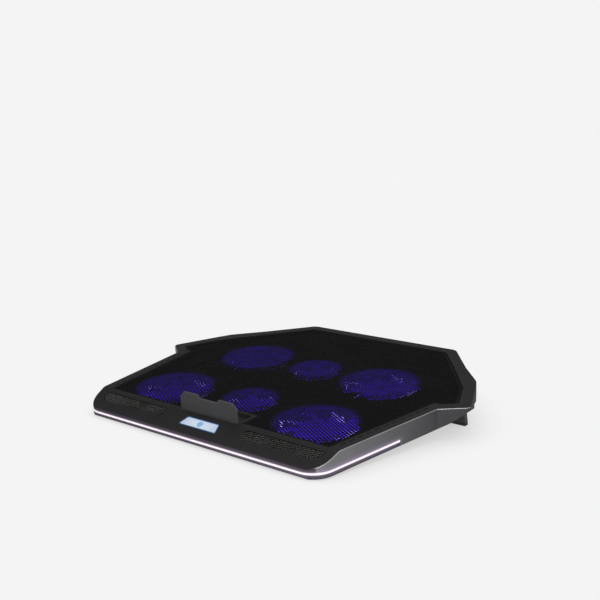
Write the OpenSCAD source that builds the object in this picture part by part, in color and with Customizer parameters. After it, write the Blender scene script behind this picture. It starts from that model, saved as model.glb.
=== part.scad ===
// Laptop cooling pad with six fans, a light strip, a laptop stopper and two fold-out rear legs.
// The pad is drawn flat in its own frame: X to the right, Y back from the front edge, Z up from the
// underside. on_desk() then tips it up onto its rear legs, with the origin under the middle of it.

/* [Body] */
// Width across the wings
pad_w = 440; // [420:1:540]
// Depth from the front edge to the rear edge
pad_d = 354; // [350:1:430]
// Height of the deck above the underside
pad_h = 22; // [21:0.5:27]
// Thickness of the covers' walls
wall = 2.2; // [1.8:0.1:2.8]
// Slope of the pad when it stands on its legs, in degrees
tilt = 4.5; // [3:0.5:7]
// How far the sides spread from the front corners to where they end behind the wings
side_flare = 37; // [30:1:44]
// How far the wing tips stand out past the end of the sides
wing_out = 17.5; // [12:0.5:20]
// Distance from the rear edge to the wing tips
wing_back = 164; // [160:1:170]
// Radius of the front corners in plan
corner_r = 24; // [12:1:30]
// Depth of the sloping front band
band_d = 31; // [30:0.5:34]
// How much lower the front edge of the band is than the deck
band_drop = 13; // [11:0.1:13.2]
// Radius of the nose above the light strip
nose_r = 2.8; // [1:0.1:2.8]

/* [Mesh deck] */
// Width of the smooth border around the mesh
border = 14; // [12:0.5:17]
// Thickness of the mesh sheet
mesh_t = 1; // [0.8:0.1:1.5]
// How far the mesh lies below the deck
mesh_sink = 1; // [0.6:0.1:1.2]
// Width of the ledge under the mesh
ledge_w = 4; // [3:0.5:5]
// Length of each dash vent in the side borders
dash_l = 8; // [5:0.5:9]
// Width of each dash vent
dash_w = 1.8; // [1.2:0.1:2.4]

/* [Light strip] */
// Height of the strip's lower edge above the underside
strip_z = 3.7; // [3.2:0.1:3.8]
// Height of the strip
strip_h = 3.4; // [2.6:0.1:3.5]
// How deep the strip reaches into the body
strip_t = 3.2; // [2.8:0.1:3.6]
// How far back along the sides the strip reaches
strip_end = 112.5; // [80:1:130]

/* [Front band] */
// Length of each front grille
grille_l = 106; // [80:1:107]
// Depth of each front grille
grille_d = 13; // [10:0.5:14]
// Distance from the centre line to each grille
grille_x = 56; // [52:1:64]
// Distance up the band to the grilles
grille_y = 15; // [14:0.5:17]
// Width of the lit control panel along its front edge
panel_w = 51.5; // [46:1:64]
// Width that the control panel loses towards its rear edge
panel_taper = 8; // [2:0.5:12]
// Depth of the control panel
panel_d = 11; // [10.8:0.1:12]
// Distance up the band to the control panel
panel_y = 13; // [12:0.5:14]
// Radius of the round button in the panel
button_r = 3.4; // [2.6:0.1:3.6]
// Travel of the button
button_travel = 0.6; // [0.4:0.1:0.8]

/* [Stopper] */
// Width of the laptop stopper
stopper_w = 82; // [68:0.5:99]
// Height of the stopper above the deck
stopper_h = 19.5; // [14:0.5:21]
// Thickness of the stopper
stopper_t = 2.6; // [2:0.1:2.8]
// Width of the notch in the stopper's top edge
stopper_notch = 25; // [15:0.5:35]

/* [Fans] */
// Outer diameter of the four large fans
fan_d = 100; // [80:1:102]
// Outer diameter of the two small fans
small_fan_d = 70; // [56:1:72]
// Height of the fan frames
fan_h = 14; // [12:0.5:14.5]
// Distance from the wing tips to the front fans' axes
fan_side = 117; // [115:1:118]
// Distance from the front edge to the front fans' axes
fan_y = 80; // [80:1:84]
// Distance from the rear edge to the rear fans' axes
rear_fan_back = 142; // [138:1:146]
// Radius of the fan shafts
shaft_r = 1.5; // [1.2:0.1:1.8]

/* [Legs] */
// Width of each rear leg
leg_w = 40; // [28:1:40]
// Thickness of each leg
leg_t = 6; // [5:0.25:6.5]
// Distance from the wing tip to a leg's outer side
leg_side = 28.5; // [28.5:0.5:34]
// Distance from the rear edge to the leg hinges
leg_back = 125; // [123:1:127]
// Angle that an open leg leans back from upright
leg_lean = 14; // [8:1:18]
// Radius of the leg pins
leg_pin_r = 1.5; // [1.2:0.1:1.8]
// Radius of the round front feet
foot_r = 3.5; // [3:0.1:4]

/* [Sockets] */
// Distance from the centre line to the middle of the socket board
usb_x = 60; // [50:1:80]

/* [Hidden] */

// Fits: between parts that slide in, between parts that move, and around turning shafts
slip = 0.3;
swing = 0.5;
running = 0.06;
// A cut reaches this far past the face that it opens
past = 1;

// Plan of the lower body: the right half as corners [x, y, radius], from the front to the rear
half_w = pad_w / 2;
side_end = [half_w - wing_out, pad_d - 125];
front_x = side_end.x - side_flare;
tail_x = half_w - 110;
side_angle = atan(side_flare / side_end.y);
function side_x(y) = front_x + y * tan(side_angle);
hip = [half_w - 23.5, pad_d - 113];
shoulder = [half_w - 67, pad_d - 53];
right_side = [
    [front_x, 0, corner_r],
    [side_x(pad_d - 164), pad_d - 164, 20],
    [hip.x, hip.y, 6],
    [shoulder.x, shoulder.y, 30],
    [tail_x, pad_d, 12]];

// The wing spreads from the side, from its start over its tip to the shoulder behind the leg
wing_start = [side_x(pad_d - 185), pad_d - 185];
wing_tip = [half_w, pad_d - wing_back];
band_angle = atan(band_drop / band_d);

// Heights inside the body
deck_under = pad_h - wall;
mesh_z = pad_h - mesh_sink - mesh_t;
ledge_t = 1.6;
strip_top = strip_z + strip_h;
floor_z = wall;

// Stopper: its hinge lies just behind the band
stopper_pin_r = 0.8;
barrel_r = stopper_t / 2 + 0.3;
stopper_y = band_d + 0.4;
stopper_z = pad_h - barrel_r - 0.3;
stopper_l = stopper_h + pad_h - stopper_z;
tray_wall = 3;
tray_in = stopper_w / 2 + swing;
tray_front = stopper_y - barrel_r - swing;
tray_back = stopper_y + stopper_l + swing;
tray_floor = stopper_z - barrel_r - swing;

// Fans: [x, y, outer radius, number of blades, hub radius]
front_fan_x = half_w - fan_side;
rear_fan_x = half_w - fan_side - 11;
rear_fan_y = pad_d - rear_fan_back;
FANS = [
    [-front_fan_x, fan_y, fan_d / 2, 9, 19],
    [front_fan_x, fan_y, fan_d / 2, 9, 19],
    [-rear_fan_x, rear_fan_y, fan_d / 2, 9, 19],
    [rear_fan_x, rear_fan_y, fan_d / 2, 9, 19],
    [0, fan_y + 15, small_fan_d / 2, 7, 14],
    [0, rear_fan_y, small_fan_d / 2, 7, 14]];
rim = 3;
blade_gap = 1.5;
ear_out = 3.2;
ear_r = 4.5;
base_t = 2;
bush_r = shaft_r + 1.1;
post_r = bush_r + 1.4;

// Legs and feet
leg_y = pad_d - leg_back;
leg_barrel_r = leg_t / 2 + 0.7;
leg_z = leg_barrel_r + 1.8;
leg_out = half_w - leg_side;
leg_mid = leg_out - leg_w / 2;
foot_y = 20;
foot_z = foot_r - 2;
foot_l = 60;
foot_x = 92;
leg_drop = foot_r + (leg_y - foot_y) * sin(tilt) + (leg_z - foot_z) * cos(tilt);
leg_len = leg_drop / cos(leg_lean);
leg_foot_t = 3;
tub_wall = 2;
tub_reach = leg_len + 2.5;

// Control board, in the band's frame, on a post at each end
board_z = -8.6;
board_t = 1.6;
board_post_x = panel_w / 2 + 5.5;

// Screws
screw_r = 1.2;
screw_head_r = 2.6;
screw_head_t = 1.4;
boss_r = 3.5;
right_bosses = [
    [40, 14], [front_x - 14, 15], [side_x(100) - 8, 100],
    [half_w - 35, pad_d - 110], [tail_x - 12, pad_d - 10], [24, pad_d - 9]];

// Standing on the desk: the turn about the front feet, then the shift that centres the part
front_reach = (foot_y * cos(tilt)) + (strip_top + 1 - foot_z) * sin(tilt);
rear_reach = (pad_d - foot_y) * cos(tilt) + foot_z * sin(tilt);
centre_y = (rear_reach - front_reach) / 2;

function unit(v) = v / norm(v);
function turn(a) = a > 180 ? a - 360 : a < -180 ? a + 360 : a;

// The points of an arc that rounds the corner p between its neighbours a and b
function corner_arc(a, p, b, r, n) =
    let (u = unit(a - p), v = unit(b - p), half = acos(u * v) / 2,
        centre = p + unit(u + v) * r / sin(half),
        from = p + u * r / tan(half) - centre, to = p + v * r / tan(half) - centre,
        start = atan2(from.y, from.x), sweep = turn(atan2(to.y, to.x) - start))
    [for (k = [0:n]) centre + r * [cos(start + sweep * k / n), sin(start + sweep * k / n)]];

function flat(c) = [c.x, c.y];

// An outline from corners [x, y, radius]
function rounded(corners, n = 8) =
    let (m = len(corners))
    [for (i = [0:m - 1])
        let (c = corners[i], a = flat(corners[(i + m - 1) % m]), b = flat(corners[(i + 1) % m]))
        each c.z > 0 ? corner_arc(a, flat(c), b, c.z, n) : [flat(c)]];

function mirrored(corners) =
    concat(corners, [for (i = [len(corners) - 1:-1:0]) [-corners[i].x, corners[i].y, corners[i].z]]);

// The side view of the body, open downwards to z0
function profile(z0) = rounded([
    [0, z0, 0], [0, pad_h - band_drop, nose_r], [band_d, pad_h, 12],
    [pad_d + past, pad_h, 0], [pad_d + past, z0, 0]]);

module plan(inset = 0) offset(delta = -inset) polygon(rounded(mirrored(right_side)));

module across(length = pad_w + 20)
    rotate([90, 0, 90]) linear_extrude(length, center = true) children();

module both_sides() {
    children();
    mirror([1, 0, 0]) children();
}

module on_desk()
    translate([0, -centre_y, foot_r]) rotate([tilt, 0, 0]) translate([0, -foot_y, -foot_z])
        children();

// Local frame of the sloping band: Z = 0 is its surface and Y runs up the slope
module on_band()
    translate([0, 0, pad_h - band_drop]) rotate([band_angle, 0, 0]) children();

// A block of the front zone, which the light strip runs round, up to the height z
module front_zone(z, y = strip_end)
    translate([-half_w - past, -past, -past]) cube([pad_w + 2 * past, y + past, z + past]);

module wing_plan() polygon(rounded([
    wing_corner(wing_start - [8, 0]), wing_corner(wing_start), [wing_tip.x, wing_tip.y, 7],
    [half_w - 26, pad_d - 105, 40], [half_w - 34, pad_d - 89, 30],
    wing_corner(shoulder), wing_corner(hip - [12, 0])]));

function wing_corner(p) = [p.x, p.y, 0];

// The wing overhangs the body: its underside rises outwards from the foot of the body
module wing() difference() {
    linear_extrude(pad_h) wing_plan();
    wing_undercut(wing_start, [hip.x - 9, hip.y + 8], atan((pad_h - 4) / 29));
    wing_undercut(hip, shoulder, atan((pad_h - 8) / 9));
}

// What is cut away under the wing, outside the line from a to b
module wing_undercut(a, b, rise)
    translate([a.x, a.y, 1]) rotate([0, 0, atan2(a.x - b.x, b.y - a.y)])
        rotate([0, -rise, 0]) translate([-20, -60, -60]) cube([120, 200, 60]);

module outer_body() {
    intersection() {
        linear_extrude(pad_h) plan();
        across() polygon(profile(-past));
    }
    both_sides() wing();
}

// The deck's outline, with the wings
module deck_plan(inset = 0) offset(delta = -inset) {
    plan();
    both_sides() wing_plan();
}

module body_space() intersection() {
    translate([0, 0, -past]) linear_extrude(pad_h) plan(wall);
    across() offset(delta = -wall) polygon(profile(-20));
}

// The mesh outline, which leaves out the stopper's tray
module mesh_plan(grow = 0) difference() {
    intersection() {
        deck_plan(border - grow);
        translate([-half_w, band_d + 1.2 - grow]) square([pad_w, pad_d]);
    }
    tray_w = tray_in + tray_wall + 0.6 - grow;
    translate([-tray_w, 0]) square([2 * tray_w, tray_back + tray_wall + 0.6 - grow]);
}

module panel_plan(grow = 0) offset(delta = grow) polygon(rounded([
    [-panel_w / 2, panel_y, 1.5], [panel_w / 2, panel_y, 1.5],
    [(panel_w - panel_taper) / 2, panel_y + panel_d, 1.5],
    [-(panel_w - panel_taper) / 2, panel_y + panel_d, 1.5]], 3));

module grille_plan(grow = 0) offset(delta = grow) polygon(rounded([
    [grille_x, grille_y, 4], [grille_x + grille_l - 11, grille_y, 4],
    [grille_x + grille_l, grille_y + grille_d, 3], [grille_x, grille_y + grille_d, 4]], 4));

module bosses(r, z0, z1) both_sides() for (b = right_bosses)
    translate([b.x, b.y, z0]) cylinder(r = r, h = z1 - z0, $fn = 32);

module top_shell() difference() {
    outer_body();
    body_space();
}

// The dash vents in the right border, in a row that follows the side
module dashes() {
    pitch = dash_l + 4;
    rotate([0, 0, -side_angle])
        for (k = [0:10]) translate([front_x * cos(side_angle) - border + 3.5,
                front_x * sin(side_angle) + 40 + k * pitch, 0])
            translate([0, 0, deck_under - past]) cube([dash_w, dash_l, wall + 2 * past]);
}

module stopper_tray() intersection() {
    outer_body();
    w = tray_in + tray_wall;
    translate([-w, tray_front - tray_wall, tray_floor - 2])
        cube([2 * w, tray_back - tray_front + 2 * tray_wall, pad_h]);
}

module top_cover() color([0.13, 0.13, 0.14]) on_desk() difference() {
    union() {
        top_shell();
        intersection() {
            outer_body();
            union() {
                bosses(boss_r, floor_z, pad_h);
                on_band() both_sides() translate([board_post_x, panel_y + panel_d / 2, -7])
                    cylinder(r = 2.2, h = 6, $fn = 32);
                translate([0, 0, mesh_z - ledge_t]) linear_extrude(pad_h) difference() {
                    mesh_plan(3);
                    mesh_plan(-ledge_w);
                }
            }
        }
        stopper_tray();
    }
    front_zone(strip_top);
    translate([0, 0, mesh_z]) linear_extrude(pad_h) mesh_plan(0.6);
    translate([0, 0, -past]) linear_extrude(pad_h + 2 * past) intersection() {
        mesh_plan(-ledge_w);
        plan(wall + 1);
    }
    translate([-tray_in, tray_front, tray_floor])
        cube([2 * tray_in, tray_back - tray_front, pad_h]);
    translate([-tray_in - 2.4, stopper_y, stopper_z]) rotate([0, 90, 0])
        cylinder(r = stopper_pin_r + running, h = 2 * tray_in + 4.8, $fn = 32);
    on_band() {
        both_sides() {
            translate([0, 0, -10]) linear_extrude(20) grille_plan();
            translate([0, 0, -10]) linear_extrude(10 - 0.8) grille_plan(2 + slip);
        }
        translate([0, 0, -5]) linear_extrude(10) panel_plan(0.15);
        translate([0, 0, -5]) linear_extrude(5 - 1.2) panel_plan(1.5);
    }
    bosses(screw_r + running, -past, floor_z + 8);
    both_sides() dashes();
    usb_gaps();
}

// Slots under one fan, kept inside its rim
module intake(f) intersection() {
    translate([f.x, f.y, -past]) cylinder(r = f.z - rim - 2, h = wall + 2 * past, $fn = 96);
    union() for (k = [-8:8]) if (abs(k) > 0)
        translate([f.x - f.z, f.y + k * 7 - 2, -past]) cube([2 * f.z, 4, wall + 2 * past]);
}

module fan_screw_places(f) for (a = [45, 225])
    rotate([0, 0, a]) translate([f.z + ear_out, 0, 0]) children();

module leg_tub(inset, z0) {
    w = leg_w + 2 * swing + 2 * inset;
    translate([leg_mid - w / 2, leg_y - tub_reach - inset, z0])
        cube([w, tub_reach + leg_barrel_r + 1 + 2 * inset, leg_z + leg_barrel_r + 0.7 + inset - z0]);
}

module foot_place() both_sides() translate([foot_x, foot_y, foot_z]) children();

module bottom_cover() color([0.12, 0.12, 0.13]) on_desk() difference() {
    union() {
        linear_extrude(floor_z) plan(wall + slip);
        intersection() {
            union() {
                linear_extrude(floor_z) plan();
                linear_extrude(strip_z) difference() {
                    plan();
                    plan(wall);
                }
            }
            front_zone(strip_z);
            across() polygon(rounded([[0, 2.2, 0], [0, 30, 0], [pad_d, 30, 0], [pad_d, 0, 0],
                [1.8, 0, 0]]));
        }
        foot_place() translate([-foot_l / 2 - 2, -foot_r - 2, -foot_z])
            cube([foot_l + 4, 2 * foot_r + 4, foot_z + foot_r + 1.6]);
        both_sides() leg_tub(tub_wall, 0);
        for (p = mesh_posts) translate([p.x, p.y, 0]) cylinder(r = 3, h = mesh_z, $fn = 32);
        both_ends_of_board() cylinder(r = 2.5, h = usb_board_z, $fn = 32);
    }
    both_sides() leg_tub(0, -past);
    both_sides() translate([leg_mid, leg_y, leg_z]) rotate([0, 90, 0])
        cylinder(r = leg_pin_r + running, h = leg_w + 2 * swing + 2 * tub_wall + 2, center = true,
            $fn = 32);
    foot_place() rotate([0, 90, 0])
        cylinder(r = foot_r + 0.05, h = foot_l + 0.1, center = true, $fn = 48);
    bosses(screw_r + slip, -past, floor_z + past);
    bosses(screw_head_r + slip, -past, screw_head_t + 0.1);
    for (f = FANS) {
        intake(f);
        translate([f.x, f.y, floor_z - 1.6]) fan_screw_places(f)
            cylinder(r = screw_r + running, h = 3, $fn = 32);
    }
    both_sides() rear_foot(0.05, -past);
}

// Posts that carry the middle of the mesh
post_y = fan_y + 71;
mesh_posts = [[-120, post_y], [-58, post_y], [0, post_y], [58, post_y], [120, post_y],
    [-92, pad_d - 62], [0, pad_d - 62], [92, pad_d - 62]];

module mesh_panel() color([0.07, 0.07, 0.08]) on_desk()
    translate([0, 0, mesh_z]) linear_extrude(mesh_t) mesh_plan();

module grille() color([0.08, 0.08, 0.09]) on_desk() on_band()
    translate([0, 0, -1.8]) linear_extrude(1) grille_plan(2);

module grille_right() grille();

module grille_left() mirror([1, 0, 0]) grille();

module light_strip() color([0.95, 0.92, 1]) on_desk() intersection() {
    translate([0, 0, strip_z]) linear_extrude(strip_h) difference() {
        plan();
        plan(strip_t);
    }
    front_zone(pad_h, strip_end - 0.05);
}

// The flexible board of lights behind the strip
module strip_board() color([0.9, 0.9, 0.85]) on_desk() intersection() {
    translate([0, 0, strip_z - 0.4]) linear_extrude(strip_h + 0.8) difference() {
        plan(strip_t + 0.3);
        plan(strip_t + 1.1);
    }
    front_zone(pad_h, strip_end - 1);
}

module button_place() on_band() translate([0, panel_y + panel_d / 2, 0]) children();

module panel_lens() color([0.75, 0.87, 0.98]) on_desk() difference() {
    on_band() {
        translate([0, 0, -1.3]) linear_extrude(1.3) panel_plan();
        translate([0, 0, -2.2]) linear_extrude(0.95) panel_plan(1.2);
    }
    button_place() translate([0, 0, -4]) cylinder(r = button_r + slip, h = 8, $fn = 64);
}

module mode_button() color([0.35, 0.6, 0.85]) on_desk() button_place() {
    translate([0, 0, -4.2]) cylinder(r = button_r, h = 4.7, $fn = 64);
    translate([0, 0, -4.2]) cylinder(r = button_r + 1.2, h = 1, $fn = 64);
}

module tact_switch() color([0.2, 0.2, 0.22]) on_desk() button_place() {
    translate([-3, -3, board_z + board_t]) cube([6, 6, 1.7]);
    translate([0, 0, board_z + board_t]) cylinder(r = 1.5, h = 7 - 4.25 - button_travel, $fn = 32);
}

module control_board() color([0.1, 0.35, 0.2]) on_desk() on_band()
    translate([-board_post_x - 3, panel_y - 3, board_z])
        cube([2 * board_post_x + 6, panel_d + 5, board_t]);

// The stopper's face, with cut corners and a shallow notch in its top edge
module stopper_face() {
    w = stopper_w / 2;
    n = stopper_notch / 2;
    polygon(rounded(mirrored([
        [w, 0, 0], [w, stopper_l - 6, 1.5], [w - 6, stopper_l, 1.5],
        [n + 3, stopper_l, 1], [n, stopper_l - 3.6, 1]]), 4));
}

module stopper() color([0.22, 0.22, 0.23]) on_desk() translate([0, stopper_y, stopper_z])
    difference() {
        union() {
            rotate([90, 0, 0]) linear_extrude(stopper_t, center = true) stopper_face();
            rotate([0, 90, 0]) cylinder(r = barrel_r, h = stopper_w, center = true, $fn = 48);
        }
        rotate([0, 90, 0])
            cylinder(r = stopper_pin_r + running, h = stopper_w + 2, center = true, $fn = 32);
    }

module stopper_pin() color("silver") on_desk()
    translate([0, stopper_y, stopper_z]) rotate([0, 90, 0])
        cylinder(r = stopper_pin_r, h = 2 * tray_in + 4.4, center = true, $fn = 32);

// Frame of an open leg: the origin is on its hinge and Z is upright on the desk
module leg_place(side) on_desk() translate([side * leg_mid, leg_y, leg_z])
    rotate([-tilt, 0, 0]) children();

// A leaning bar seen from the side, between two heights below the hinge
module leg_side_view(t, z0, z1) {
    slant = tan(leg_lean);
    half_t = t / 2 / cos(leg_lean);
    polygon([[-z0 * slant - half_t, z0], [-z0 * slant + half_t, z0],
        [-z1 * slant + half_t, z1], [-z1 * slant - half_t, z1]]);
}

module leg(side) color([0.2, 0.2, 0.21]) leg_place(side) difference() {
    union() {
        across(leg_w) leg_side_view(leg_t, 0, leg_foot_t - leg_drop);
        rotate([0, 90, 0]) cylinder(r = leg_barrel_r, h = leg_w, center = true, $fn = 48);
    }
    rotate([0, 90, 0]) cylinder(r = leg_pin_r + running, h = leg_w + 2, center = true, $fn = 32);
}

module leg_foot(side) color([0.06, 0.06, 0.06]) leg_place(side)
    across(leg_w - 1) leg_side_view(leg_t + 0.8, leg_foot_t - leg_drop, -leg_drop);

module leg_left() leg(-1);

module leg_right() leg(1);

module leg_foot_left() leg_foot(-1);

module leg_foot_right() leg_foot(1);

module leg_pins() color("silver") on_desk() both_sides() translate([leg_mid, leg_y, leg_z])
    rotate([0, 90, 0]) cylinder(r = leg_pin_r, h = leg_w + 2 * swing + 2 * tub_wall, center = true,
        $fn = 32);

module front_feet() color([0.06, 0.06, 0.06]) on_desk() foot_place()
    rotate([0, 90, 0]) cylinder(r = foot_r, h = foot_l, center = true, $fn = 48);

module rear_foot(grow, z0)
    translate([tail_x - 20, pad_d - 24, z0]) cylinder(r = 6 + grow, h = 0.6 - z0, $fn = 48);

module rear_feet() color([0.06, 0.06, 0.06]) on_desk() both_sides() rear_foot(0, -1.2);

// Socket board at the rear left, with a USB socket and a small power inlet
usb_board_z = 4.4;
socket_z = usb_board_z + board_t;
SOCKETS = [[-8, 14, 6.6, 13], [10, 8, 4.2, 9]];

module both_ends_of_board() for (s = [-1, 1])
    translate([-usb_x + s * 17, pad_d - 18, 0]) children();

module usb_board() color([0.1, 0.35, 0.2]) on_desk()
    translate([-usb_x - 21, pad_d - 26, usb_board_z]) cube([42, 22, board_t]);

// Each socket is [x from the board's middle, width, height, depth]
module at_socket(s) translate([-usb_x + s[0], pad_d - 0.3, socket_z]) children();

module usb_shells() color("silver") on_desk() for (s = SOCKETS) at_socket(s) difference() {
    translate([-s[1] / 2, -s[3], 0]) cube([s[1], s[3], s[2]]);
    translate([-s[1] / 2 + 0.5, -s[3] + 0.6, 0.5]) cube([s[1] - 1, s[3], s[2] - 1]);
}

module usb_tongues() color([0.85, 0.85, 0.88]) on_desk() for (s = SOCKETS) at_socket(s)
    translate([-s[1] / 2 + 1.4, -s[3] + 0.6, s[2] / 2 - 0.4])
        cube([s[1] - 2.8, s[3] - 2, s[2] > 5 ? 1.9 : 0.9]);

module usb_gaps() for (s = SOCKETS) at_socket(s)
    translate([-s[1] / 2 - slip, -s[3] - 1, -slip]) cube([s[1] + 2 * slip, s[3] + 3, s[2] + 2 * slip]);

// A flat lead from a to b, with round ends
module lead(a, b) {
    along = b - a;
    translate(a) {
        circle(r = 1.7, $fn = 24);
        rotate([0, 0, atan2(along.y, along.x)]) translate([0, -1.4]) square([norm(along), 2.8]);
        translate(along) circle(r = 1.7, $fn = 24);
    }
}

// The lead's route on the floor: from the socket board forward between the fans
lead_x = small_fan_d / 2 + 3.5;
row_gap_y = fan_y + 62;
route = [[-usb_x + 20, pad_d - 30], [-lead_x, pad_d - 60], [-lead_x, rear_fan_y - 36],
    [-46, row_gap_y], [-46, fan_y - 20], [-32, fan_y - 50], [-32, fan_y - 62]];

module wiring() color([0.8, 0.1, 0.1]) on_desk() translate([0, 0, floor_z + 0.3])
    linear_extrude(1.4) {
        for (i = [0:len(route) - 2]) lead(route[i], route[i + 1]);
        lead([-46, row_gap_y], [46, row_gap_y]);
    }

module screw(length) {
    cylinder(r = screw_head_r, h = screw_head_t, $fn = 32);
    cylinder(r = screw_r, h = length, $fn = 32);
}

module cover_screws() color("silver") on_desk() both_sides() for (b = right_bosses)
    translate([b.x, b.y, 0]) screw(9);

module fan_screws() color("silver") on_desk() for (f = FANS)
    translate([f.x, f.y, floor_z + 3 + screw_head_t]) fan_screw_places(f)
        mirror([0, 0, 1]) screw(screw_head_t + 3 + 1.4);

// Lights in the rims of the fans, on top of the struts
module fan_leds() color([0.4, 0.3, 1]) on_desk() for (f = FANS) for (a = [0:90:270])
    translate([f.x, f.y, floor_z + base_t]) rotate([0, 0, a])
        translate([f.z - rim - 0.9, -1.2, 0]) cube([0.8, 2.4, 6]);

module fan_at(i) on_desk() translate([FANS[i].x, FANS[i].y, floor_z]) children();

module ring(r_out, r_in, h) difference() {
    cylinder(r = r_out, h = h, $fn = 96);
    translate([0, 0, -past]) cylinder(r = r_in, h = h + 2 * past, $fn = 96);
}

module fan_frame(i) color([0.1, 0.1, 0.11]) fan_at(i) {
    r = FANS[i].z;
    plate_r = FANS[i][4] - 2;
    ring(r, r - rim, fan_h);
    difference() {
        union() {
            cylinder(r = plate_r, h = base_t, $fn = 64);
            for (a = [0:90:270]) rotate([0, 0, a]) translate([plate_r - 1, -2.5, 0])
                cube([r - rim - plate_r + 1.5, 5, base_t]);
            cylinder(r = post_r, h = 8, $fn = 48);
        }
        translate([0, 0, 0.5]) cylinder(r = bush_r, h = 9, $fn = 48);
    }
    for (a = [45:90:315]) rotate([0, 0, a]) difference() {
        translate([r + ear_out, 0, 0]) cylinder(r = ear_r, h = 3, $fn = 32);
        translate([r + ear_out, 0, -past]) cylinder(r = screw_r + slip, h = 5, $fn = 32);
        translate([0, 0, -past]) cylinder(r = r - 1, h = 5, $fn = 96);
    }
}

module fan_bearings() color([0.8, 0.6, 0.3]) for (i = [0:5]) fan_at(i)
    translate([0, 0, 0.5]) ring(bush_r - 0.02, shaft_r + running, 7.5);

// The stator is a ring with six pole gaps, inside the rotor's cup
module fan_stators() color([0.7, 0.4, 0.2]) for (i = [0:5]) fan_at(i) difference() {
    translate([0, 0, base_t]) ring(FANS[i][4] - 3.2, post_r + 0.02, 5);
    for (a = [0:60:300]) rotate([0, 0, a]) translate([post_r + 2, -0.8, base_t - past])
        cube([20, 1.6, 8]);
}

module blade(f) {
    pitch = 34;
    chord = 15;
    intersection() {
        translate([0, 0, 0]) ring(f.z - rim - blade_gap, f[4] - 0.6, fan_h);
        translate([0, 0, fan_h / 2 + 1]) rotate([pitch, 0, 0])
            translate([0, -chord / 2, -0.7]) cube([f.z, chord, 1.4]);
    }
}

module rotor(i) color([0.25, 0.15, 0.6]) fan_at(i) {
    f = FANS[i];
    for (k = [0:f[3] - 1]) rotate([0, 0, k * 360 / f[3]]) blade(f);
    difference() {
        translate([0, 0, 3]) cylinder(r = f[4], h = 9.5, $fn = 64);
        translate([0, 0, 2]) cylinder(r = f[4] - 1.4, h = 8.5, $fn = 64);
    }
    translate([0, 0, 1]) cylinder(r = shaft_r, h = 10.5, $fn = 32);
}

top_cover();
bottom_cover();
mesh_panel();
grille_left();
grille_right();
light_strip();
strip_board();
panel_lens();
mode_button();
tact_switch();
control_board();
stopper();
stopper_pin();
leg_left();
leg_right();
leg_foot_left();
leg_foot_right();
leg_pins();
front_feet();
rear_feet();
usb_board();
usb_shells();
usb_tongues();
wiring();
cover_screws();
fan_screws();
fan_leds();
fan_bearings();
fan_stators();
fan_frame(0);  // fan_frame_1
fan_frame(1);  // fan_frame_2
fan_frame(2);  // fan_frame_3
fan_frame(3);  // fan_frame_4
fan_frame(4);  // fan_frame_5
fan_frame(5);  // fan_frame_6
rotor(0);  // rotor_1
rotor(1);  // rotor_2
rotor(2);  // rotor_3
rotor(3);  // rotor_4
rotor(4);  // rotor_5
rotor(5);  // rotor_6
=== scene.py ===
import bpy, bmesh, math
import numpy as np
from mathutils import Matrix, Vector


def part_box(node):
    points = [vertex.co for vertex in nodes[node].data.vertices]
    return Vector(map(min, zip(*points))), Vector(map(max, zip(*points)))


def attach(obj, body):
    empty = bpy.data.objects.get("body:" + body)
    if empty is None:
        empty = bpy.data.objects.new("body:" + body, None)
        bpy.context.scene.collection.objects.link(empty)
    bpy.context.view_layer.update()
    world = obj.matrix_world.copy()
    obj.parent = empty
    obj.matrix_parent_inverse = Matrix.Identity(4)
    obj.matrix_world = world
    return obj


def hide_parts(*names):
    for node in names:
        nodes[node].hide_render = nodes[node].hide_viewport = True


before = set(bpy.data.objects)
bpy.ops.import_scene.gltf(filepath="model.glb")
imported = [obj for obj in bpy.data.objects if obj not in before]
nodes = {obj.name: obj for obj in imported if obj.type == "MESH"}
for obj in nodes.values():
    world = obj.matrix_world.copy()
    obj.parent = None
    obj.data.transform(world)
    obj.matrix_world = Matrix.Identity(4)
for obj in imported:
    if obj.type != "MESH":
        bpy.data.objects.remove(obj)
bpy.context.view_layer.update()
scene = bpy.context.scene
mm = 0.001

# camera, at the height of someone sitting at the desk
view = dict(place=(0.6466, -0.7946, 0.3180), looks=(-0.6183, 0.7639, -0.1846), lens=54.44)
camera = bpy.data.objects.new("deskCamera", bpy.data.cameras.new("deskCamera"))
scene.collection.objects.link(camera)
camera.data.lens = view["lens"]
camera.data.sensor_width = 36
camera.data.clip_start = 0.01
camera.location = view["place"]
camera.rotation_euler = Vector(view["looks"]).to_track_quat("-Z", "Y").to_euler()
scene.camera = camera
print("camera placed")

# the pad's own frame: x to the right, y back from the front edge, z up from the underside
pad = dict(tilt=4.5, height=22, footY=20, footZ=1.5, bandDepth=31, bandDrop=13)
footLow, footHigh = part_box("front_feet")
footMid = (footLow + footHigh) / 2
onDesk = (Matrix.Translation((0, footMid.y, footMid.z))
          @ Matrix.Rotation(math.radians(pad["tilt"]), 4, "X")
          @ Matrix.Translation((0, -pad["footY"] * mm, -pad["footZ"] * mm)))
offDesk = onDesk.inverted()
bandAngle = math.atan2(pad["bandDrop"], pad["bandDepth"])
onBand = (onDesk @ Matrix.Translation((0, 0, (pad["height"] - pad["bandDrop"]) * mm))
          @ Matrix.Rotation(bandAngle, 4, "X"))
offBand = onBand.inverted()
deckUp = onDesk.to_3x3() @ Vector((0, 0, 1))


# ---- node groups shared by the finishes ----

def socketOf(group, name, direction, kind="NodeSocketFloat", value=None):
    made = group.interface.new_socket(name=name, in_out=direction, socket_type=kind)
    if value is not None:
        made.default_value = value
    return made


def put(tree, kind, spot, **fields):
    made = tree.nodes.new(kind)
    made.location = spot
    for key, value in fields.items():
        if key in made.bl_rna.properties:
            setattr(made, key, value)
        else:
            made.inputs[key.replace("_", " ")].default_value = value
    return made


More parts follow.
